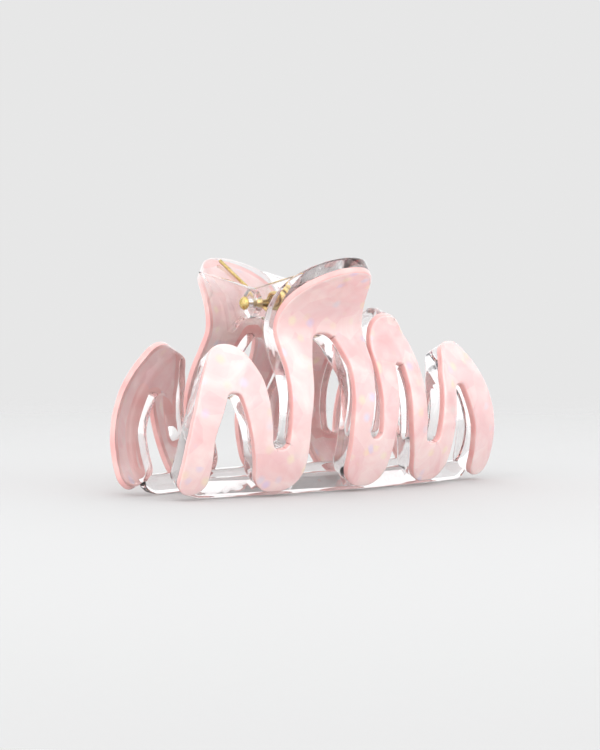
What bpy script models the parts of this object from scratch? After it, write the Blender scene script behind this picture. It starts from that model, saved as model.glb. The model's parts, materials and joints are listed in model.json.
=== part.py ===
"""Large acrylic claw clip: two mirror-image wavy jaws, a riveted hinge pin and a torsion spring.

The frame has its origin on the ground under the middle of the clip. X runs along the clip, Y across
it from the front jaw to the back jaw, and Z up. Every jaw is a flat outline, drawn in X and Z, that
is wrapped onto one curved jaw surface and given a thickness. Sizes in the tables are millimetres.
"""

import math

import bmesh
import bpy
from mathutils import Vector

MM = 0.001

# The jaw surface: how far its outer face stands from the middle plane of the clip.
BOW_MIDDLE = 15.3
BOW_DROP = 6.0
BOW_HALF_LENGTH = 44.6
# Outward offset of the profile at each height: in at the foot, out at the belly, in at the neck.
PROFILE = [
    (-8, -4.0), (0, 0.0), (7, 3.1), (14, 4.4), (21, 3.9), (27, 1.8), (31, -0.5),
    (35, -2.3), (39, -1.3), (43, 2.4), (47, 9.2), (51, 17.4), (55, 26.0),
]

# The layers, as depths below the outer face. The clear layer thins towards the top of the handle.
PINK_THICKNESS = 1.5
LAYER_GAP = 0.3
CLEAR_THICKNESS = 4.2
CLEAR_THICKNESS_TOP = 2.6
TAPER_START = 35.0
HANDLE_TOP = 47.0

# The wave outline, clockwise from the left foot: each corner is (x, z, corner radius).
WAVE_BOTTOM = 0.8
LEFT_OF_HANDLE = [
    (-39.8, WAVE_BOTTOM, 3.2), (-46.4, WAVE_BOTTOM, 3.2), (-46.6, 14.0, 18.0),
    (-42.0, 25.6, 9.0), (-37.2, 32.4, 5.2), (-30.6, 32.4, 5.2), (-27.6, 25.0, 9.0),
    (-26.2, 10.0, 1.8), (-22.4, 10.0, 1.8), (-20.9, 28.0, 20.0),
]
RIGHT_OF_HANDLE = [
    (3.2, 28.0, 20.0), (-0.5, 11.4, 1.7), (3.5, 11.4, 1.7),
    (4.4, 31.5, 9.0), (8.0, 37.8, 4.8), (14.8, 37.8, 4.8), (17.8, 31.5, 9.0),
    (18.6, 9.6, 1.9), (23.2, 9.6, 1.9),
    (25.6, 25.0, 9.0), (29.4, 32.0, 4.8), (35.6, 32.0, 4.8), (41.0, 25.6, 10.0),
    (46.6, 14.0, 18.0), (46.4, WAVE_BOTTOM, 3.2),
    (39.6, WAVE_BOTTOM, 3.2), (37.2, 13.0, 12.0), (33.0, 22.4, 1.4), (29.9, 22.4, 1.3),
    (27.8, WAVE_BOTTOM, 5.2), (17.0, WAVE_BOTTOM, 5.2),
    (13.3, 13.0, 20.0), (13.0, 27.6, 1.3), (10.2, 27.6, 1.3), (8.2, 14.0, 20.0),
    (6.4, WAVE_BOTTOM, 5.2), (-5.2, WAVE_BOTTOM, 5.2),
    (-5.2, 14.0, 20.0), (-3.4, 27.5, 9.0), (-5.4, 34.2, 2.8), (-10.8, 34.2, 2.8),
    (-14.2, 27.5, 9.0), (-16.9, 16.0, 12.0),
    (-17.0, WAVE_BOTTOM, 5.2), (-28.4, WAVE_BOTTOM, 5.2),
    (-33.9, 22.2, 1.4), (-36.7, 22.2, 1.4), (-40.2, 13.0, 10.0),
]
# The handle's dome is half a slightly squared ellipse over the hinge.
DOME_X = -8.5
DOME_Z = 34.0
DOME_HALF_WIDTH = 12.1
DOME_FULLNESS = 0.9
DOME_STEPS = 16
SLICE_HEIGHT = 2.6
SLICE_LENGTH = 7.0

# The bottom rail along each jaw.
RAIL_HALF_LENGTH = 42.6
RAIL_TOP = 4.2
RAIL_OUTER_DEPTH = 2.4
RAIL_INNER_DEPTH = 6.3
RAIL_END_DEPTH = 4.6
RAIL_STEPS = 16

# The hinge: its axis, its lugs and the riveted pin.
HINGE_X = DOME_X
HINGE_Z = 40.5
LUG_RADIUS = 3.3
LUG_THICKNESS = 2.2
BACK_LUG_OFFSET = 9.5
FRONT_LUG_OFFSET = 6.9
LUG_ROOT_LOW = 33.6
LUG_ROOT_HIGH = 44.0
LUG_ROOT_DEPTH = 4.0
LUG_ROOT_STEPS = 6
BORE_RADIUS = 1.1
PIN_RADIUS = 0.8
HEAD_RADIUS = 1.45
HEAD_HEIGHT = 0.95
GAP = 0.3

# The torsion spring.
WIRE_RADIUS = 0.42
COIL_RADIUS = 2.0
COIL_PITCH = 1.05
COIL_TURNS = 5
LEG_END_HEIGHT = 45.0
COIL_STEPS_PER_TURN = 12
WIRE_SIDES = 6


def jaw_profile(z):
    """Outward offset at height z: a Catmull-Rom curve through PROFILE."""
    index = 1
    while index < len(PROFILE) - 3 and PROFILE[index + 1][0] < z:
        index += 1
    (z0, y0), (z1, y1), (z2, y2), (z3, y3) = PROFILE[index - 1:index + 3]
    slope1 = (y2 - y0) / (z2 - z0)
    slope2 = (y3 - y1) / (z3 - z1)
    span = z2 - z1
    t = (z - z1) / span
    start = (1 + 2 * t) * (1 - t) ** 2 * y1 + t * (1 - t) ** 2 * span * slope1
    end = t * t * (3 - 2 * t) * y2 + t * t * (t - 1) * span * slope2
    return start + end


def jaw_surface(x, z):
    """Distance of the jaw's outer face from the middle plane."""
    return BOW_MIDDLE - BOW_DROP * (x / BOW_HALF_LENGTH) ** 2 + jaw_profile(z)


def jaw_point(x, z, depth):
    """The point at a depth below the outer face of the back jaw, in millimetres."""
    step = 0.01
    slope_x = (jaw_surface(x + step, z) - jaw_surface(x - step, z)) / (2 * step)
    slope_z = (jaw_surface(x, z + step) - jaw_surface(x, z - step)) / (2 * step)
    outward = Vector((-slope_x, 1.0, -slope_z)).normalized()
    return Vector((x, jaw_surface(x, z), z)) - depth * outward


def clear_depth(z):
    """Depth of the inner face of the clear layer."""
    taper = min(max((z - TAPER_START) / (HANDLE_TOP - TAPER_START), 0.0), 1.0)
    thickness = CLEAR_THICKNESS + taper * (CLEAR_THICKNESS_TOP - CLEAR_THICKNESS)
    return PINK_THICKNESS + LAYER_GAP + thickness


def rounded(corners, step=math.radians(24)):
    """The closed outline through the corners, each replaced by an arc of its radius."""
    points = []
    for index, (x, z, radius) in enumerate(corners):
        here = Vector((x, z))
        before = (Vector(corners[index - 1][:2]) - here).normalized()
        after = (Vector(corners[(index + 1) % len(corners)][:2]) - here).normalized()
        turn = math.pi - before.angle(after)
        if radius == 0 or turn < math.radians(2):
            points.append(here)
            continue
        tangent = radius * math.tan(turn / 2)
        centre = here + (before + after).normalized() * (radius / math.cos(turn / 2))
        start = here + before * tangent - centre
        side = 1 if before.x * after.y - before.y * after.x < 0 else -1
        count = max(2, round(turn / step))
        for number in range(count + 1):
            angle = side * turn * number / count
            cos, sin = math.cos(angle), math.sin(angle)
            points.append(centre + Vector((start.x * cos - start.y * sin, start.x * sin + start.y * cos)))
    return points


def jaw_outline():
    """The whole wave with its handle."""
    dome = []
    for number in range(DOME_STEPS + 1):
        angle = math.pi * (1 - number / DOME_STEPS)
        cos, sin = math.cos(angle), math.sin(angle)
        x = DOME_X + DOME_HALF_WIDTH * math.copysign(abs(cos) ** DOME_FULLNESS, cos)
        z = DOME_Z + (HANDLE_TOP - DOME_Z) * sin ** DOME_FULLNESS
        dome.append((x, z, 0))
    return rounded(LEFT_OF_HANDLE + dome + RIGHT_OF_HANDLE)


def sliced_outline():
    """The flat outline as a mesh, cut into small cells so that it can bend."""
    sheet = bmesh.new()
    sheet.faces.new([sheet.verts.new((point.x, 0, point.y)) for point in jaw_outline()])
    levels = int(HANDLE_TOP / SLICE_HEIGHT)
    columns = int(BOW_HALF_LENGTH / SLICE_LENGTH)
    cuts = [((0, 0, level * SLICE_HEIGHT), (0, 0, 1)) for level in range(1, levels + 1)]
    cuts += [((column * SLICE_LENGTH, 0, 0), (1, 0, 0)) for column in range(-columns, columns + 1)]
    for place, normal in cuts:
        everything = sheet.verts[:] + sheet.edges[:] + sheet.faces[:]
        bmesh.ops.bisect_plane(sheet, geom=everything, dist=1e-5, plane_co=place, plane_no=normal)
    return sheet


def layer_mesh(name, side, outer_depth, inner_depth):
    """One layer of a jaw: the outline wrapped between two depths. side is -1 for the front jaw."""
    sheet = sliced_outline()
    solid = bmesh.new()
    outer, inner = {}, {}
    for vert in sheet.verts:
        x, z = vert.co.x, vert.co.z
        for layer, depth in ((outer, outer_depth(z)), (inner, inner_depth(z))):
            point = jaw_point(x, z, depth)
            layer[vert.index] = solid.verts.new((point.x * MM, side * point.y * MM, point.z * MM))
    for face in sheet.faces:
        ring = [vert.index for vert in face.verts]
        solid.faces.new([outer[index] for index in ring])
        solid.faces.new([inner[index] for index in reversed(ring)])
    for edge in sheet.edges:
        if len(edge.link_faces) == 1:
            a, b = (vert.index for vert in edge.verts)
            solid.faces.new([outer[a], outer[b], inner[b], inner[a]])
    sheet.free()
    return finished_mesh(name, solid)


def finished_mesh(name, solid):
    """Turns a bmesh into mesh data with its faces pointing out."""
    bmesh.ops.recalc_face_normals(solid, faces=solid.faces[:])
    mesh = bpy.data.meshes.new(name)
    solid.to_mesh(mesh)
    solid.free()
    return mesh


def swept_mesh(name, rings):
    """A closed body through a row of rings with the same number of points."""
    solid = bmesh.new()
    rows = [[solid.verts.new(Vector(point) * MM) for point in ring] for ring in rings]
    for row, following in zip(rows, rows[1:]):
        for index in range(len(row)):
            after = (index + 1) % len(row)
            solid.faces.new([row[index], row[after], following[after], following[index]])
    solid.faces.new(rows[0])
    solid.faces.new(rows[-1])
    return finished_mesh(name, solid)


def rail_mesh(name, side):
    """The square bar along the bottom of a jaw."""
    rings = []
    for number in range(RAIL_STEPS + 1):
        x = RAIL_HALF_LENGTH * (2 * number / RAIL_STEPS - 1)
        face = jaw_surface(x, 0)
        narrowing = (RAIL_INNER_DEPTH - RAIL_END_DEPTH) * (x / RAIL_HALF_LENGTH) ** 4
        near = side * (face - RAIL_OUTER_DEPTH)
        far = side * (face - RAIL_INNER_DEPTH + narrowing)
        rings.append([(x, near, 0), (x, near, RAIL_TOP), (x, far, RAIL_TOP), (x, far, 0)])
    return swept_mesh(name, rings)


def lug_mesh(name, side, middle):
    """A gusset from the handle's inner face to a round eye on the hinge axis."""
    outline = []
    for number in range(9):
        angle = math.radians(-60 - 200 * number / 8)
        outline.append((LUG_RADIUS * math.cos(angle), HINGE_Z + LUG_RADIUS * math.sin(angle)))
    for number in range(LUG_ROOT_STEPS + 1):
        height = LUG_ROOT_HIGH + (LUG_ROOT_LOW - LUG_ROOT_HIGH) * number / LUG_ROOT_STEPS
        root = jaw_point(middle, height, LUG_ROOT_DEPTH)
        outline.append((root.y, root.z))
    rings = []
    for end in (-0.5, 0.5):
        x = middle + end * LUG_THICKNESS
        rings.append([(x, side * y, z) for y, z in outline])
    return swept_mesh(name, rings)


def turned_ring(x, radius, sides=16):
    """A ring of points round the hinge axis."""
    ring = []
    for number in range(sides):
        angle = math.tau * number / sides
        ring.append((x, radius * math.cos(angle), HINGE_Z + radius * math.sin(angle)))
    return ring


def bore_mesh(name):
    """The cutter for the pin's bore, right through the lugs."""
    reach = BACK_LUG_OFFSET + 2 * LUG_THICKNESS
    return swept_mesh(name, [turned_ring(HINGE_X + end * reach, BORE_RADIUS) for end in (-1, 1)])


def pin_mesh(name):
    """The hinge pin: a domed head on each end, the second one riveted after assembly."""
    shoulder = BACK_LUG_OFFSET + LUG_THICKNESS / 2 + GAP
    dome = [(0.0, 1.0), (0.45, 0.95), (0.8, 0.7), (1.0, 0.25)]
    rings = []
    for end in (-1, 1):
        steps = [turned_ring(HINGE_X + end * shoulder, PIN_RADIUS)]
        for along, size in dome:
            steps.append(turned_ring(HINGE_X + end * (shoulder + HEAD_HEIGHT * along), HEAD_RADIUS * size))
        rings += reversed(steps) if end < 0 else steps
    return swept_mesh(name, rings)


def leg_end():
    """Where a spring leg ends: just off the inner face of the back handle."""
    clearance = GAP + WIRE_RADIUS
    depth = clear_depth(LEG_END_HEIGHT) + clearance
    point = jaw_point(HINGE_X, LEG_END_HEIGHT, depth)
    return point.y, point.z - HINGE_Z


def spring_path():
    """The middle of the spring wire: back leg, coil, front leg."""
    reach, rise = leg_end()
    distance = math.hypot(reach, rise)
    tangent = math.atan2(rise, reach) - math.acos(COIL_RADIUS / distance)
    start, finish = tangent, math.pi - tangent - COIL_TURNS * math.tau
    turns = (start - finish) / math.tau
    count = round(turns * COIL_STEPS_PER_TURN)
    half = turns * COIL_PITCH / 2
    path = [Vector((HINGE_X - half, reach, HINGE_Z + rise))]
    for number in range(count + 1):
        share = number / count
        angle = start + (finish - start) * share
        across, up = COIL_RADIUS * math.cos(angle), COIL_RADIUS * math.sin(angle)
        path.append(Vector((HINGE_X - half + 2 * half * share, across, HINGE_Z + up)))
    path.append(Vector((HINGE_X + half, -reach, HINGE_Z + rise)))
    return path


def spring_mesh(name):
    """The spring wire as a tube along its path."""
    path = spring_path()
    axis = Vector((1, 0, 0))
    rings = []
    for index, point in enumerate(path):
        ahead = path[min(index + 1, len(path) - 1)] - path[max(index - 1, 0)]
        if index == 0 or index == len(path) - 1:
            ahead.x = 0
        sideways = ahead.cross(axis).normalized()
        along_axis = sideways.cross(ahead).normalized()
        ring = []
        for number in range(WIRE_SIDES):
            angle = math.tau * number / WIRE_SIDES
            offset = sideways * math.cos(angle) + along_axis * math.sin(angle)
            ring.append(point + WIRE_RADIUS * offset)
        rings.append(ring)
    return swept_mesh(name, rings)


def material(name, colour, roughness, metallic=0.0, transmission=0.0):
    """A plain Principled material."""
    made = bpy.data.materials.new(name)
    made.use_nodes = True
    shader = made.node_tree.nodes["Principled BSDF"]
    shader.inputs["Base Color"].default_value = (*colour, 1)
    shader.inputs["Roughness"].default_value = roughness
    shader.inputs["Metallic"].default_value = metallic
    shader.inputs["Transmission Weight"].default_value = transmission
    return made


def place(mesh, pivot=None, finish=None):
    """Puts mesh data in the scene, under a pivot on its joint's axis where it moves."""
    made = bpy.data.objects.new(mesh.name, mesh)
    bpy.context.scene.collection.objects.link(made)
    if pivot:
        made.parent = pivot
        made.location = -pivot.location
    if finish:
        mesh.materials.append(finish)
    return made


def combine(body, helper, operation):
    """Joins a hidden helper to a body, or cuts it away."""
    helper.hide_render = True
    helper.display_type = "WIRE"
    boolean = body.modifiers.new(helper.name, "BOOLEAN")
    boolean.operation = operation
    boolean.object = helper


def make_jaw(name, side, lug_offset, pivot, pink, clear):
    """A jaw: the pink layer outside, and the clear layer with its rail and two hinge lugs."""
    def flush(z):
        return 0.0

    def pink_back(z):
        return PINK_THICKNESS

    def clear_front(z):
        return PINK_THICKNESS + LAYER_GAP

    place(layer_mesh(name + "_pink", side, flush, pink_back), pivot, pink)
    body = place(layer_mesh(name + "_clear", side, clear_front, clear_depth), pivot, clear)
    combine(body, place(rail_mesh(name + "_rail_helper", side), pivot), "UNION")
    for end in (-1, 1):
        middle = HINGE_X + end * lug_offset
        lug = place(lug_mesh(f"{name}_lug_helper_{'left' if end < 0 else 'right'}", side, middle), pivot)
        combine(body, lug, "UNION")
    combine(body, place(bore_mesh(name + "_bore_cutter"), pivot), "DIFFERENCE")


def main():
    for old in list(bpy.data.objects):
        bpy.data.objects.remove(old)
    pink = material("pink_acrylic", (0.80, 0.52, 0.52), 0.15)
    clear = material("clear_acrylic", (0.95, 0.95, 0.95), 0.05, transmission=0.9)
    gold = material("gold_plated_steel", (0.83, 0.62, 0.25), 0.25, metallic=1.0)

    pivot = bpy.data.objects.new("front_jaw_pivot", None)
    bpy.context.scene.collection.objects.link(pivot)
    pivot.location = (HINGE_X * MM, 0, HINGE_Z * MM)

    make_jaw("back_jaw", 1, BACK_LUG_OFFSET, None, pink, clear)
    make_jaw("front_jaw", -1, FRONT_LUG_OFFSET, pivot, pink, clear)
    place(pin_mesh("hinge_pin"), finish=gold)
    place(spring_mesh("torsion_spring"), finish=gold)


main()
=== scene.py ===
"""The looks of the acrylic claw clip: fine rounded jaws, a riveted pin and a wound spring.

Every jaw is a flat wave outline, drawn in X and Z, wrapped onto one curved jaw surface. The tables
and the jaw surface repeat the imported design; their sizes are millimetres.
"""

import json
import math

import bmesh
import bpy
from mathutils import Matrix, Vector


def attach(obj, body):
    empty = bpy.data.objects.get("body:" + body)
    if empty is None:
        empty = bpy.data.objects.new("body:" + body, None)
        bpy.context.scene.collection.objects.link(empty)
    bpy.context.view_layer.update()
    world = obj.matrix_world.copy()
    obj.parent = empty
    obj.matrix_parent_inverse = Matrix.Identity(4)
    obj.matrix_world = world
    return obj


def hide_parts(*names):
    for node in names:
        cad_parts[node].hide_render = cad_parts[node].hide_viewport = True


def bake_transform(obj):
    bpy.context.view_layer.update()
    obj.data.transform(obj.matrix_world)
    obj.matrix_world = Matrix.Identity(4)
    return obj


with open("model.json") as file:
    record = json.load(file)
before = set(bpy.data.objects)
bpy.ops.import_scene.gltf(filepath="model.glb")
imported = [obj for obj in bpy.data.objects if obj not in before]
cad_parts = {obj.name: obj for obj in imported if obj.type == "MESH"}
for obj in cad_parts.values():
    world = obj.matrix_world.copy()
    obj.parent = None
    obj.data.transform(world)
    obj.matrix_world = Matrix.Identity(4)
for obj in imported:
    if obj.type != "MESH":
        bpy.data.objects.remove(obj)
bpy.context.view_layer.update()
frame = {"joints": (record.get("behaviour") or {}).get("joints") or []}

MM = 0.001

# The jaw surface: how far its outer face stands from the middle plane of the clip.
BOW_MIDDLE = 15.3
BOW_DROP = 6.0
BOW_HALF_LENGTH = 44.6
PROFILE = [
    (-8, -4.0), (0, 0.0), (7, 3.1), (14, 4.4), (21, 3.9), (27, 1.8), (31, -0.5),
    (35, -2.3), (39, -1.3), (43, 2.4), (47, 9.2), (51, 17.4), (55, 26.0),
]

# The layers, as depths below the outer face. The clear layer runs a little way into the pink one,
# so that no air shows between them.
PINK_BACK = 1.6
CLEAR_FRONT = 1.4
CLEAR_BACK = 6.0
CLEAR_BACK_TOP = 4.4
TAPER_START = 35.0
HANDLE_TOP = 47.0

# The wave outline, clockwise from the left foot: each corner is (x, z, corner radius).
WAVE_BOTTOM = 0.8
LEFT_OF_HANDLE = [
    (-39.8, WAVE_BOTTOM, 3.2), (-46.4, WAVE_BOTTOM, 3.2), (-46.6, 14.0, 40.0),
    (-42.0, 25.6, 30.0), (-37.2, 32.4, 5.2), (-30.6, 32.4, 5.2), (-27.6, 25.0, 9.0),
    (-26.2, 10.0, 1.8), (-22.4, 10.0, 1.8), (-20.9, 28.0, 20.0),
]
RIGHT_OF_HANDLE = [
    (3.2, 28.0, 20.0), (-0.5, 11.4, 1.7), (3.5, 11.4, 1.7),
    (4.4, 31.5, 9.0), (8.0, 37.8, 4.8), (14.8, 37.8, 4.8), (17.8, 31.5, 9.0),
    (18.6, 9.6, 1.9), (23.2, 9.6, 1.9),
    (25.6, 25.0, 9.0), (29.4, 32.0, 4.8), (35.6, 32.0, 4.8), (41.0, 25.6, 28.0),
    (46.6, 14.0, 34.0), (46.4, WAVE_BOTTOM, 3.2),
    (39.6, WAVE_BOTTOM, 3.2), (37.2, 13.0, 12.0), (33.0, 22.4, 1.4), (29.9, 22.4, 1.3),
    (27.8, WAVE_BOTTOM, 5.2), (17.0, WAVE_BOTTOM, 5.2),
    (13.3, 13.0, 20.0), (13.0, 27.6, 1.3), (10.2, 27.6, 1.3), (8.2, 14.0, 20.0),
    (6.4, WAVE_BOTTOM, 5.2), (-5.2, WAVE_BOTTOM, 5.2),
    (-5.2, 14.0, 20.0), (-3.4, 27.5, 9.0), (-5.4, 34.2, 2.8), (-10.8, 34.2, 2.8),
    (-14.2, 27.5, 9.0), (-16.9, 16.0, 12.0),
    (-17.0, WAVE_BOTTOM, 5.2), (-28.4, WAVE_BOTTOM, 5.2),
    (-33.9, 22.2, 1.4), (-36.7, 22.2, 1.4), (-40.2, 13.0, 10.0),
]
DOME_X = -8.5
DOME_Z = 34.0
DOME_HALF_WIDTH = 12.1
DOME_FULLNESS = 0.9
DOME_STEPS = 40

# How finely the jaws are made: the turn between two points of an arc, the turn too small to round,
# the side of a cell, the distance under which vertices merge, and the step for reading a slope.
ARC_STEP = math.radians(9)
STRAIGHT_ENOUGH = math.radians(2)
CELL = 1.5
MERGE_DISTANCE = 0.05
SLOPE_STEP = 0.4

# The rounding of the layers' edges: how far the flat faces are drawn in, and the two radii.
EDGE_INSET = 1.3
PINK_FRONT_RADIUS = 0.5
PINK_BACK_RADIUS = 0.2
CLEAR_FRONT_RADIUS = 0.2
CLEAR_BACK_RADIUS = 1.2
ROUND_STEPS = 5

# Edges turning more than these are rounded on a swept body, and shown sharp on a combined one.
BEVEL_ANGLE = math.radians(35)
SHARP_ANGLE = math.radians(38)

# The bottom rail along each jaw. Its ends rise into the feet.
RAIL_HALF_LENGTH = 42.6
RAIL_TOP = 4.2
RAIL_OUTER_DEPTH = 2.4
RAIL_INNER_DEPTH = 6.3
RAIL_END_DEPTH = 4.6
RAIL_ROUNDING = 0.7
RAIL_LIFT_START = 38.5
RAIL_END_LIFT = 1.8
RAIL_STEPS = 48

# The hinge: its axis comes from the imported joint.
HINGE_X, _, HINGE_Z = (value / MM for value in frame["joints"][0]["pos_m"])
LUG_RADIUS = 3.3
LUG_THICKNESS = 2.2
BACK_LUG_OFFSET = 9.5
FRONT_LUG_OFFSET = 6.9
LUG_ROOT_LOW = 33.6
LUG_ROOT_HIGH = 44.0
LUG_ROOT_DEPTH = 4.0
LUG_ROOT_STEPS = 6
LUG_ROUNDING = 0.3
EYE_START = -60
EYE_SWEEP = 200
EYE_STEPS = 24
BORE_RADIUS = 0.95
PIN_RADIUS = 0.8
HEAD_RADIUS = 1.45
HEAD_HEIGHT = 0.95
HEAD_LAND = 0.1
HEAD_STEPS = 8
TURNED_SIDES = 40
GAP = 0.3

# The torsion spring.
WIRE_RADIUS = 0.42
COIL_RADIUS = 2.0
COIL_PITCH = 1.05
COIL_TURNS = 5
LEG_END_HEIGHT = 45.0
COIL_STEPS_PER_TURN = 32
WIRE_SIDES = 12
WIRE_END_LENGTH = 0.12
WIRE_END_SHARE = 0.7


def jaw_profile(z):
    """Outward offset at height z: a Catmull-Rom curve through PROFILE."""
    index = 1
    while index < len(PROFILE) - 3 and PROFILE[index + 1][0] < z:
        index += 1
    (z0, y0), (z1, y1), (z2, y2), (z3, y3) = PROFILE[index - 1:index + 3]
    slope1 = (y2 - y0) / (z2 - z0)
    slope2 = (y3 - y1) / (z3 - z1)
    span = z2 - z1
    t = (z - z1) / span
    start = (1 + 2 * t) * (1 - t) ** 2 * y1 + t * (1 - t) ** 2 * span * slope1
    end = t * t * (3 - 2 * t) * y2 + t * t * (t - 1) * span * slope2
    return start + end


def jaw_surface(x, z):
    """Distance of the jaw's outer face from the middle plane."""
    return BOW_MIDDLE - BOW_DROP * (x / BOW_HALF_LENGTH) ** 2 + jaw_profile(z)


def jaw_point(x, z, depth):
    """The point at a depth below the outer face of the back jaw."""
    slope_x = (jaw_surface(x + SLOPE_STEP, z) - jaw_surface(x - SLOPE_STEP, z)) / (2 * SLOPE_STEP)
    slope_z = (jaw_surface(x, z + SLOPE_STEP) - jaw_surface(x, z - SLOPE_STEP)) / (2 * SLOPE_STEP)
    outward = Vector((-slope_x, 1.0, -slope_z)).normalized()
    return Vector((x, jaw_surface(x, z), z)) - depth * outward


def clear_back(z):
    """Depth of the inner face of the clear layer, which thins towards the top of the handle."""
    taper = min(max((z - TAPER_START) / (HANDLE_TOP - TAPER_START), 0.0), 1.0)
    return CLEAR_BACK + taper * (CLEAR_BACK_TOP - CLEAR_BACK)


def rounded(corners):
    """The closed outline through the corners, each replaced by an arc of its radius."""
    points = []
    for index, (x, z, radius) in enumerate(corners):
        here = Vector((x, z))
        before = (Vector(corners[index - 1][:2]) - here).normalized()
        after = (Vector(corners[(index + 1) % len(corners)][:2]) - here).normalized()
        turn = math.pi - before.angle(after)
        if radius == 0 or turn < STRAIGHT_ENOUGH:
            points.append(here)
            continue
        tangent = radius * math.tan(turn / 2)
        centre = here + (before + after).normalized() * (radius / math.cos(turn / 2))
        start = here + before * tangent - centre
        side = 1 if before.x * after.y - before.y * after.x < 0 else -1
        count = max(3, round(turn / ARC_STEP))
        for number in range(count + 1):
            angle = side * turn * number / count
            cos, sin = math.cos(angle), math.sin(angle)
            turned = Vector((start.x * cos - start.y * sin, start.x * sin + start.y * cos))
            points.append(centre + turned)
    return points


def left_normals(points):
    """The unit normal to the left of the way at each point of a closed outline."""
    normals = []
    for index, point in enumerate(points):
        back = (point - points[index - 1]).normalized()
        ahead = (points[(index + 1) % len(points)] - point).normalized()
        along = (back + ahead).normalized()
        normals.append(Vector((-along.y, along.x)))
    return normals


def jaw_outline():
    """The whole wave with its handle, clockwise."""
    dome = []
    for number in range(DOME_STEPS + 1):
        angle = math.pi * (1 - number / DOME_STEPS)
        cos, sin = math.cos(angle), math.sin(angle)
        x = DOME_X + DOME_HALF_WIDTH * math.copysign(abs(cos) ** DOME_FULLNESS, cos)
        z = DOME_Z + (HANDLE_TOP - DOME_Z) * sin ** DOME_FULLNESS
        dome.append((x, z, 0))
    return rounded(LEFT_OF_HANDLE + dome + RIGHT_OF_HANDLE)


def sliced_sheet():
    """The drawn-in outline as a flat mesh, cut into small cells so that it can bend."""
    outline = jaw_outline()
    inset = [point - EDGE_INSET * normal for point, normal in zip(outline, left_normals(outline))]
    sheet = bmesh.new()
    sheet.faces.new([sheet.verts.new((point.x, 0, point.y)) for point in inset])
    levels = int(HANDLE_TOP / CELL)
    columns = int(BOW_HALF_LENGTH / CELL) + 1
    cuts = [((0, 0, level * CELL), (0, 0, 1)) for level in range(1, levels + 1)]
    cuts += [((column * CELL, 0, 0), (1, 0, 0)) for column in range(-columns, columns + 1)]
    for place, normal in cuts:
        everything = sheet.verts[:] + sheet.edges[:] + sheet.faces[:]
        bmesh.ops.bisect_plane(sheet, geom=everything, dist=1e-4, plane_co=place, plane_no=normal)
    bmesh.ops.remove_doubles(sheet, verts=sheet.verts[:], dist=MERGE_DISTANCE)
    sheet.verts.index_update()
    return sheet


def boundary_loop(sheet):
    """The sheet's outer vertices in order, clockwise."""
    edges = [edge for edge in sheet.edges if len(edge.link_faces) == 1]
    following = {}
    for edge in edges:
        loop = edge.link_loops[0]
        following[loop.vert] = loop.link_loop_next.vert
    start = edges[0].verts[0]
    ring = [start]
    while following[ring[-1]] is not start:
        ring.append(following[ring[-1]])
    area = 0.0
    for vert in ring:
        after = following[vert]
        area += vert.co.x * after.co.z - after.co.x * vert.co.z
    return ring if area < 0 else ring[::-1]


def rim_steps(front_radius, back_radius):
    """The edge's cross-section as rows of (outset, depth from a face, whether that is the back)."""
    steps = [(EDGE_INSET - front_radius, 0.0, False)]
    for number in range(1, ROUND_STEPS + 1):
        angle = math.pi / 2 * number / ROUND_STEPS
        outset = EDGE_INSET - front_radius * (1 - math.sin(angle))
        steps.append((outset, front_radius * (1 - math.cos(angle)), False))
    for number in range(ROUND_STEPS + 1):
        angle = math.pi / 2 * number / ROUND_STEPS
        outset = EDGE_INSET - back_radius * (1 - math.cos(angle))
        steps.append((outset, -back_radius * (1 - math.sin(angle)), True))
    return steps


def layer_solid(side, front, back, front_radius, back_radius):
    """One layer of a jaw with rounded edges. front and back give depths at a height."""
    sheet = sliced_sheet()
    loop = boundary_loop(sheet)
    flat = [Vector((vert.co.x, vert.co.z)) for vert in loop]
    normals = left_normals(flat)
    solid = bmesh.new()

    def wrapped(x, z, depth):
        point = jaw_point(x, z, depth)
        return solid.verts.new((point.x * MM, side * point.y * MM, point.z * MM))

    front_verts = [wrapped(vert.co.x, vert.co.z, front(vert.co.z)) for vert in sheet.verts]
    back_verts = [wrapped(vert.co.x, vert.co.z, back(vert.co.z)) for vert in sheet.verts]
    for face in sheet.faces:
        ring = [vert.index for vert in face.verts]
        solid.faces.new([front_verts[index] for index in ring])
        solid.faces.new([back_verts[index] for index in reversed(ring)])
    rows = [[front_verts[vert.index] for vert in loop]]
    for outset, offset, on_back in rim_steps(front_radius, back_radius):
        row = []
        for point, normal in zip(flat, normals):
            place = point + outset * normal
            base = back(point.y) if on_back else front(point.y)
            row.append(wrapped(place.x, place.y, base + offset))
        rows.append(row)
    rows.append([back_verts[vert.index] for vert in loop])
    for number, (row, lower) in enumerate(zip(rows, rows[1:])):
        for index in range(len(loop)):
            after = (index + 1) % len(loop)
            face = solid.faces.new([row[index], row[after], lower[after], lower[index]])
            face.material_index = 1 if number >= ROUND_STEPS - 1 else 0
    sheet.free()
    return solid


def finished_mesh(name, solid):
    """Turns a bmesh into smooth mesh data with its faces pointing out."""
    bmesh.ops.recalc_face_normals(solid, faces=solid.faces[:])
    for face in solid.faces:
        face.smooth = True
    mesh = bpy.data.meshes.new(name)
    solid.to_mesh(mesh)
    solid.free()
    return mesh


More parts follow.
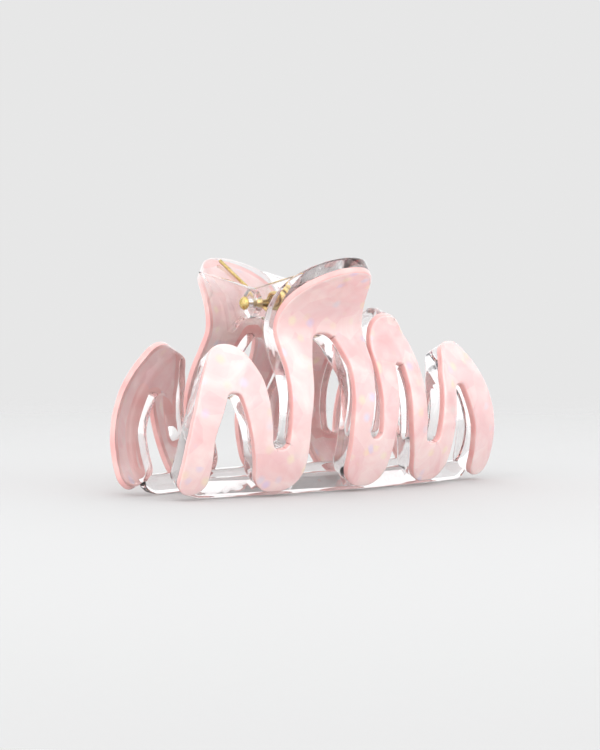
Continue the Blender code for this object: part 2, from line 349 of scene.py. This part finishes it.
def swept_mesh(name, rings, round_width=0.0):
    """A closed body through a row of rings, with its long edges rounded where a width is given."""
    solid = bmesh.new()
    rows = [[solid.verts.new(Vector(point) * MM) for point in ring] for ring in rings]
    for row, following in zip(rows, rows[1:]):
        for index in range(len(row)):
            after = (index + 1) % len(row)
            solid.faces.new([row[index], row[after], following[after], following[index]])
    solid.faces.new(rows[0])
    solid.faces.new(rows[-1])
    bmesh.ops.recalc_face_normals(solid, faces=solid.faces[:])
    if round_width:
        sharp = [edge for edge in solid.edges if edge.calc_face_angle(0) > BEVEL_ANGLE]
        bmesh.ops.bevel(
            solid, geom=sharp, offset=round_width * MM, segments=4, profile=0.5, affect="EDGES",
            clamp_overlap=True,
        )
    return finished_mesh(name, solid)


def rail_mesh(name, side):
    """The bar along the bottom of a jaw, whose ends rise into the feet."""
    rings = []
    for number in range(RAIL_STEPS + 1):
        x = RAIL_HALF_LENGTH * (2 * number / RAIL_STEPS - 1)
        face = jaw_surface(x, 0)
        narrowing = (RAIL_INNER_DEPTH - RAIL_END_DEPTH) * (x / RAIL_HALF_LENGTH) ** 4
        near = side * (face - RAIL_OUTER_DEPTH)
        far = side * (face - RAIL_INNER_DEPTH + narrowing)
        share = max(abs(x) - RAIL_LIFT_START, 0) / (RAIL_HALF_LENGTH - RAIL_LIFT_START)
        low = RAIL_END_LIFT * share ** 2
        rings.append([(x, near, low), (x, near, RAIL_TOP), (x, far, RAIL_TOP), (x, far, low)])
    return swept_mesh(name, rings, RAIL_ROUNDING)


def lug_mesh(name, side, middle):
    """A gusset from the handle's inner face to a round eye on the hinge axis."""
    outline = []
    for number in range(EYE_STEPS + 1):
        angle = math.radians(EYE_START - EYE_SWEEP * number / EYE_STEPS)
        outline.append((LUG_RADIUS * math.cos(angle), HINGE_Z + LUG_RADIUS * math.sin(angle)))
    for number in range(LUG_ROOT_STEPS + 1):
        height = LUG_ROOT_HIGH + (LUG_ROOT_LOW - LUG_ROOT_HIGH) * number / LUG_ROOT_STEPS
        root = jaw_point(middle, height, LUG_ROOT_DEPTH)
        outline.append((root.y, root.z))
    rings = []
    for end in (-0.5, 0.5):
        x = middle + end * LUG_THICKNESS
        rings.append([(x, side * y, z) for y, z in outline])
    return swept_mesh(name, rings, LUG_ROUNDING)


def turned_ring(x, radius):
    """A ring of points round the hinge axis."""
    ring = []
    for number in range(TURNED_SIDES):
        angle = math.tau * number / TURNED_SIDES
        ring.append((x, radius * math.cos(angle), HINGE_Z + radius * math.sin(angle)))
    return ring


def bore_mesh(name):
    """The cutter for the pin's bore, right through the lugs."""
    reach = BACK_LUG_OFFSET + 2 * LUG_THICKNESS
    return swept_mesh(name, [turned_ring(HINGE_X + end * reach, BORE_RADIUS) for end in (-1, 1)])


def pin_mesh(name):
    """The hinge pin: a domed head on each end, the second one riveted after assembly."""
    shoulder = BACK_LUG_OFFSET + LUG_THICKNESS / 2 + GAP / 2
    steps = [(0.0, PIN_RADIUS), (0.02, HEAD_RADIUS * 0.94), (HEAD_LAND, HEAD_RADIUS)]
    for number in range(1, HEAD_STEPS):
        angle = math.pi / 2 * number / HEAD_STEPS
        steps.append((HEAD_LAND + (1 - HEAD_LAND) * math.sin(angle), HEAD_RADIUS * math.cos(angle)))
    steps.append((1.0, 0.03))
    rings = []
    for end in (-1, 1):
        places = []
        for along, radius in steps:
            places.append(turned_ring(HINGE_X + end * (shoulder + HEAD_HEIGHT * along), radius))
        rings += reversed(places) if end < 0 else places
    return swept_mesh(name, rings)


def leg_end():
    """Where a spring leg ends: just off the inner face of the back handle."""
    point = jaw_point(HINGE_X, LEG_END_HEIGHT, clear_back(LEG_END_HEIGHT) + GAP + WIRE_RADIUS)
    return point.y, point.z - HINGE_Z


def spring_path():
    """The middle of the spring wire: back leg, coil, front leg."""
    reach, rise = leg_end()
    distance = math.hypot(reach, rise)
    tangent = math.atan2(rise, reach) - math.acos(COIL_RADIUS / distance)
    start, finish = tangent, math.pi - tangent - COIL_TURNS * math.tau
    turns = (start - finish) / math.tau
    count = round(turns * COIL_STEPS_PER_TURN)
    half = turns * COIL_PITCH / 2
    path = [Vector((HINGE_X - half, reach, HINGE_Z + rise))]
    for number in range(count + 1):
        share = number / count
        angle = start + (finish - start) * share
        across, up = COIL_RADIUS * math.cos(angle), COIL_RADIUS * math.sin(angle)
        path.append(Vector((HINGE_X - half + 2 * half * share, across, HINGE_Z + up)))
    path.append(Vector((HINGE_X + half, -reach, HINGE_Z + rise)))
    return path, half


def wire_ring(centre, ahead, radius):
    """The wire's round section about a point of its path, square to the way ahead."""
    sideways = ahead.cross(Vector((1, 0, 0))).normalized()
    along_axis = sideways.cross(ahead).normalized()
    ring = []
    for number in range(WIRE_SIDES):
        angle = math.tau * number / WIRE_SIDES
        ring.append(centre + radius * (sideways * math.cos(angle) + along_axis * math.sin(angle)))
    return ring


def spring_mesh(name):
    """The spring wire as a tube along its path, with softly cut ends."""
    path, _ = spring_path()
    last = len(path) - 1
    end_radius = WIRE_RADIUS * WIRE_END_SHARE
    rings = []
    for index, point in enumerate(path):
        ahead = path[min(index + 1, last)] - path[max(index - 1, 0)]
        if index in (0, last):
            ahead.x = 0
        ahead.normalize()
        if index == 0:
            rings.append(wire_ring(point - WIRE_END_LENGTH * ahead, ahead, end_radius))
        rings.append(wire_ring(point, ahead, WIRE_RADIUS))
        if index == last:
            rings.append(wire_ring(point + WIRE_END_LENGTH * ahead, ahead, end_radius))
    return swept_mesh(name, rings)


class Nodes:
    """Short calls for building one material's node tree."""

    def __init__(self, name):
        self.material = bpy.data.materials.new(name)
        self.material.use_nodes = True
        self.tree = self.material.node_tree
        self.shader = self.tree.nodes["Principled BSDF"]

    def add(self, kind, **inputs):
        """A node, with its inputs set by name: a value, or another node's output socket."""
        node = self.tree.nodes.new(kind)
        for name, value in inputs.items():
            self.put(node.inputs[name.replace("_", " ")], value)
        return node

    def put(self, socket, value):
        if isinstance(value, bpy.types.NodeSocket):
            self.tree.links.new(value, socket)
        else:
            socket.default_value = value

    def ramp(self, factor, stops):
        """A colour ramp over stops of (position, colour)."""
        node = self.add("ShaderNodeValToRGB", Fac=factor)
        elements = node.color_ramp.elements
        while len(elements) < len(stops):
            elements.new(0.5)
        for element, (position, colour) in zip(elements, stops):
            element.position = position
            element.color = (*colour, 1)
        return node.outputs["Color"]

    def mix(self, factor, first, second):
        """A colour mix."""
        node = self.tree.nodes.new("ShaderNodeMix")
        node.data_type = "RGBA"
        self.put(node.inputs[0], factor)
        for socket, value in ((node.inputs[6], first), (node.inputs[7], second)):
            self.put(socket, value if isinstance(value, bpy.types.NodeSocket) else (*value, 1))
        return node.outputs[2]

    def math(self, operation, first, second=0.0):
        node = self.tree.nodes.new("ShaderNodeMath")
        node.operation = operation
        self.put(node.inputs[0], first)
        self.put(node.inputs[1], second)
        return node.outputs[0]

    def coordinates(self):
        return self.add("ShaderNodeTexCoord").outputs["Object"]

    def bump(self, height, strength, distance):
        node = self.add("ShaderNodeBump", Height=height, Strength=strength, Distance=distance)
        self.put(self.shader.inputs["Normal"], node.outputs["Normal"])

    def set(self, **inputs):
        for name, value in inputs.items():
            self.put(self.shader.inputs[name.replace("_", " ")], value)


# The pink acrylic's tones, and its glints as stops of (position, colour).
PINK = (0.90, 0.63, 0.62)
PINK_PALE = (0.94, 0.76, 0.73)
PINK_DEEP = (0.86, 0.53, 0.53)
GLINTS = [
    (0.0, (0.66, 0.58, 0.86)), (0.3, (0.62, 0.72, 0.92)),
    (0.6, (0.90, 0.66, 0.45)), (0.9, (0.90, 0.82, 0.55)),
]


def pink_material():
    """Pearl-marbled pink acrylic: soft clouds, angular patches and small glints of other colours."""
    nodes = Nodes("pink_pearl_acrylic")
    place = nodes.coordinates()
    clouds = nodes.add("ShaderNodeTexNoise", Vector=place, Scale=130.0, Detail=4.0, Distortion=1.2)
    colour = nodes.ramp(clouds.outputs["Fac"], [(0.32, PINK_DEEP), (0.5, PINK), (0.7, PINK_PALE)])
    patches = nodes.add("ShaderNodeTexVoronoi", Vector=place, Scale=190.0, Randomness=1.0)
    patch_tone = nodes.ramp(
        patches.outputs["Color"], [(0.35, (0.84, 0.52, 0.53)), (0.65, (0.95, 0.76, 0.72))]
    )
    colour = nodes.mix(0.28, colour, patch_tone)
    flakes = nodes.add("ShaderNodeTexVoronoi", Vector=place, Scale=420.0, Randomness=1.0)
    pick = nodes.add("ShaderNodeSeparateColor", Color=flakes.outputs["Color"])
    glint = nodes.ramp(pick.outputs["Red"], GLINTS)
    chosen = nodes.math("GREATER_THAN", pick.outputs["Green"], 0.80)
    edge = nodes.add("ShaderNodeMapRange", Value=flakes.outputs["Distance"])
    edge.inputs["From Min"].default_value = 0.2
    edge.inputs["From Max"].default_value = 0.6
    edge.inputs["To Min"].default_value = 0.5
    edge.inputs["To Max"].default_value = 0.0
    amount = nodes.math("MULTIPLY", chosen, edge.outputs["Result"])
    colour = nodes.mix(amount, colour, glint)
    grain = nodes.add("ShaderNodeTexNoise", Vector=place, Scale=900.0, Detail=2.0)
    roughness = nodes.math("ADD", nodes.math("MULTIPLY", grain.outputs["Fac"], 0.10), 0.12)
    nodes.set(Base_Color=colour, Roughness=roughness)
    nodes.set(Coat_Weight=0.6, Coat_Roughness=0.03, IOR=1.49, Subsurface_Weight=0.25)
    nodes.shader.inputs["Subsurface Radius"].default_value = (0.003, 0.0012, 0.001)
    nodes.shader.inputs["Subsurface Scale"].default_value = 1.0
    nodes.bump(clouds.outputs["Fac"], 0.12, 0.0004)
    return nodes.material


def pink_rim_material():
    """The saturated cut edge of the pink sheet."""
    nodes = Nodes("pink_acrylic_edge")
    place = nodes.coordinates()
    clouds = nodes.add("ShaderNodeTexNoise", Vector=place, Scale=240.0, Detail=3.0)
    colour = nodes.ramp(clouds.outputs["Fac"], [(0.35, (0.90, 0.44, 0.42)), (0.65, (0.94, 0.56, 0.53))])
    nodes.set(Base_Color=colour, Roughness=0.12, Coat_Weight=0.6, Coat_Roughness=0.03, IOR=1.49)
    nodes.bump(clouds.outputs["Fac"], 0.1, 0.0003)
    return nodes.material


def clear_material():
    """Clear cast acrylic with faint flow marks and a slight haze."""
    nodes = Nodes("clear_cast_acrylic")
    place = nodes.coordinates()
    flow = nodes.add("ShaderNodeTexNoise", Vector=place, Scale=110.0, Detail=2.0, Distortion=0.8)
    haze = nodes.add("ShaderNodeTexNoise", Vector=place, Scale=420.0, Detail=3.0)
    tint = nodes.ramp(haze.outputs["Fac"], [(0.3, (0.965, 0.945, 0.945)), (0.7, (0.995, 0.985, 0.985))])
    nodes.set(Base_Color=tint, Transmission_Weight=1.0, IOR=1.24, Roughness=0.01, Coat_Weight=0.8)
    nodes.bump(flow.outputs["Fac"], 0.25, 0.0005)
    return nodes.material


def gold_material(name, scale):
    """Polished gold plating with faint drawing marks."""
    nodes = Nodes(name)
    place = nodes.coordinates()
    marks = nodes.add("ShaderNodeTexNoise", Vector=place, Scale=scale, Detail=4.0, Distortion=0.5)
    colour = nodes.ramp(marks.outputs["Fac"], [(0.3, (0.60, 0.42, 0.13)), (0.7, (0.86, 0.68, 0.32))])
    roughness = nodes.math("ADD", nodes.math("MULTIPLY", marks.outputs["Fac"], 0.18), 0.12)
    nodes.set(Base_Color=colour, Metallic=1.0, Roughness=roughness)
    nodes.bump(marks.outputs["Fac"], 0.15, 0.0001)
    return nodes.material


def add_object(mesh, materials=()):
    """A linked object with its materials."""
    made = bpy.data.objects.new(mesh.name, mesh)
    bpy.context.scene.collection.objects.link(made)
    for finish in materials:
        mesh.materials.append(finish)
    return made


def combined(body, helpers):
    """Applies a row of (helper, operation) Booleans to a body, and removes the helpers."""
    for helper, operation in helpers:
        boolean = body.modifiers.new(helper.name, "BOOLEAN")
        boolean.operation = operation
        boolean.object = helper
    bpy.context.view_layer.update()
    graph = bpy.context.evaluated_depsgraph_get()
    mesh = bpy.data.meshes.new_from_object(body.evaluated_get(graph))
    body.modifiers.clear()
    body.data = mesh
    for helper, _ in helpers:
        bpy.data.objects.remove(helper)
    mesh.shade_smooth()
    mesh.set_sharp_from_angle(angle=SHARP_ANGLE)


def make_jaw(name, side, lug_offset, pink, pink_rim, clear):
    """A jaw's two visible layers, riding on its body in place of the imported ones."""
    mesh = finished_mesh(
        name + "_pink_layer",
        layer_solid(side, lambda z: 0.0, lambda z: PINK_BACK, PINK_FRONT_RADIUS, PINK_BACK_RADIUS),
    )
    layer = add_object(mesh, (pink, pink_rim))
    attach(layer, name)
    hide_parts(name + "_pink")

    mesh = finished_mesh(
        name + "_clear_layer",
        layer_solid(side, lambda z: CLEAR_FRONT, clear_back, CLEAR_FRONT_RADIUS, CLEAR_BACK_RADIUS),
    )
    # The clear layer has one material, rim included.
    for polygon in mesh.polygons:
        polygon.material_index = 0
    layer = add_object(mesh, (clear,))
    helpers = [(add_object(rail_mesh(name + "_rail", side)), "UNION")]
    for end in (-1, 1):
        lug = add_object(lug_mesh(f"{name}_lug_{end}", side, HINGE_X + end * lug_offset))
        helpers.append((lug, "UNION"))
    helpers.append((add_object(bore_mesh(name + "_bore")), "DIFFERENCE"))
    combined(layer, helpers)
    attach(layer, name)
    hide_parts(name + "_clear")


def make_metalwork():
    """The riveted pin and the wound spring, whose coil twists between the two jaws."""
    pin = add_object(pin_mesh("riveted_hinge_pin"), (gold_material("gold_pin", 900.0),))
    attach(pin, "back_jaw")
    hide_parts("hinge_pin")

    spring = add_object(spring_mesh("wound_torsion_spring"), (gold_material("gold_wire", 1400.0),))
    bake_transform(spring)
    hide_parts("torsion_spring")


# The studio, in metres. Each dark flag spans a share of the turn round the clip.
FLOOR_RADIUS = 0.9
FADE_START = 0.10
FADE_END = 0.45
PALE = 0.80
FLOOR_GREY = (0.61, 0.61, 0.61)
FLAGS = [(0.078, 0.092), (0.418, 0.436), (0.818, 0.832)]
FLAG_FADE = 0.008
FLAG_LIGHT = (0.97, 0.975, 0.98, 1)
FLAG_DARK = (0.09, 0.09, 0.10, 1)
WORLD_STRENGTH = 1.28
LIGHTS = [
    # name, azimuth, elevation, distance, size, power
    ("key", -60, 35, 0.9, 0.7, 1.9),
    ("fill", 25, 30, 1.0, 0.9, 1.0),
    ("top", 0, 85, 0.8, 0.8, 0.5),
]
LIGHT_TARGET = Vector((0, 0, 0.025))


def make_floor():
    """A pale floor that fades into the pale surroundings."""
    solid = bmesh.new()
    bmesh.ops.create_circle(solid, cap_ends=True, segments=64, radius=FLOOR_RADIUS)
    floor = add_object(finished_mesh("floor", solid))
    floor.location.z = -0.0002
    nodes = Nodes("pale_floor")
    place = nodes.coordinates()
    distance = nodes.add("ShaderNodeVectorMath", Vector=place)
    distance.operation = "LENGTH"
    fade = nodes.add("ShaderNodeMapRange", Value=distance.outputs["Value"])
    fade.interpolation_type = "SMOOTHSTEP"
    fade.inputs["From Min"].default_value = FADE_START
    fade.inputs["From Max"].default_value = FADE_END
    fade.inputs["To Min"].default_value = 1.0
    fade.inputs["To Max"].default_value = 0.0
    nodes.set(Base_Color=(*FLOOR_GREY, 1), Roughness=0.9, Alpha=fade.outputs["Result"])
    floor.data.materials.append(nodes.material)


def make_world():
    """Pale surroundings with dark flags, which the camera doesn't see directly."""
    world = bpy.data.worlds.new("studio")
    bpy.context.scene.world = world
    world.use_nodes = True
    tree = world.node_tree
    background = tree.nodes["Background"]
    output = tree.nodes["World Output"]
    direction = tree.nodes.new("ShaderNodeTexCoord").outputs["Generated"]
    angle = tree.nodes.new("ShaderNodeTexGradient")
    angle.gradient_type = "RADIAL"
    tree.links.new(direction, angle.inputs["Vector"])
    ramp = tree.nodes.new("ShaderNodeValToRGB")
    tree.links.new(angle.outputs["Fac"], ramp.inputs["Fac"])
    elements = ramp.color_ramp.elements
    stops = [(0.0, FLAG_LIGHT)]
    for start, end in FLAGS:
        stops += [(start - FLAG_FADE, FLAG_LIGHT), (start, FLAG_DARK)]
        stops += [(end, FLAG_DARK), (end + FLAG_FADE, FLAG_LIGHT)]
    stops.append((1.0, FLAG_LIGHT))
    while len(elements) < len(stops):
        elements.new(0.5)
    for element, (position, colour) in zip(elements, stops):
        element.position = position
        element.color = colour
    tree.links.new(ramp.outputs["Color"], background.inputs["Color"])
    background.inputs["Strength"].default_value = WORLD_STRENGTH
    seen = tree.nodes.new("ShaderNodeBackground")
    seen.inputs["Color"].default_value = (PALE, PALE, PALE, 1)
    choose = tree.nodes.new("ShaderNodeMixShader")
    path = tree.nodes.new("ShaderNodeLightPath")
    tree.links.new(path.outputs["Is Camera Ray"], choose.inputs["Fac"])
    tree.links.new(background.outputs["Background"], choose.inputs[1])
    tree.links.new(seen.outputs["Background"], choose.inputs[2])
    tree.links.new(choose.outputs["Shader"], output.inputs["Surface"])


def direction_to(azimuth, elevation):
    """The unit vector from the clip at an azimuth, from its front, and an elevation in degrees."""
    turn, rise = math.radians(azimuth), math.radians(elevation)
    return Vector((math.sin(turn) * math.cos(rise), -math.cos(turn) * math.cos(rise), math.sin(rise)))


def make_light(name, azimuth, elevation, distance, size, power):
    """A soft square light aimed at the clip."""
    data = bpy.data.lights.new(name, "AREA")
    data.size = size
    data.energy = power
    light = bpy.data.objects.new(name, data)
    bpy.context.scene.collection.objects.link(light)
    away = direction_to(azimuth, elevation)
    light.location = LIGHT_TARGET + away * distance
    light.rotation_euler = away.to_track_quat("Z", "Y").to_euler()


# The camera: angles in degrees, distance in metres, lens in millimetres, shift in shares of the frame.
CAMERA_AZIMUTH = -43.1
CAMERA_ELEVATION = 2.0
CAMERA_ROLL = 0.2
CAMERA_DISTANCE = 0.558
CAMERA_LENS = 121.4
CAMERA_TARGET = Vector((0, 0, 0.027))
CAMERA_SHIFT = (-0.0133, -0.0147)


def make_camera():
    """The camera at the viewing angle, in front of the clip and to its left."""
    data = bpy.data.cameras.new("camera")
    data.lens = CAMERA_LENS
    data.shift_x, data.shift_y = CAMERA_SHIFT
    data.clip_start = 0.01
    camera = bpy.data.objects.new("camera", data)
    bpy.context.scene.collection.objects.link(camera)
    away = direction_to(CAMERA_AZIMUTH, CAMERA_ELEVATION)
    camera.location = CAMERA_TARGET + away * CAMERA_DISTANCE
    aim = away.to_track_quat("Z", "Y").to_matrix().to_4x4()
    roll = Matrix.Rotation(math.radians(CAMERA_ROLL), 4, "Z")
    camera.rotation_euler = (aim @ roll).to_euler()
    bpy.context.scene.camera = camera


def main():
    bpy.context.scene.view_settings.view_transform = "Standard"
    make_camera()
    pink, pink_rim, clear = pink_material(), pink_rim_material(), clear_material()
    make_jaw("back_jaw", 1, BACK_LUG_OFFSET, pink, pink_rim, clear)
    make_jaw("front_jaw", -1, FRONT_LUG_OFFSET, pink, pink_rim, clear)
    make_metalwork()
    make_floor()
    make_world()
    for light in LIGHTS:
        make_light(*light)


main()
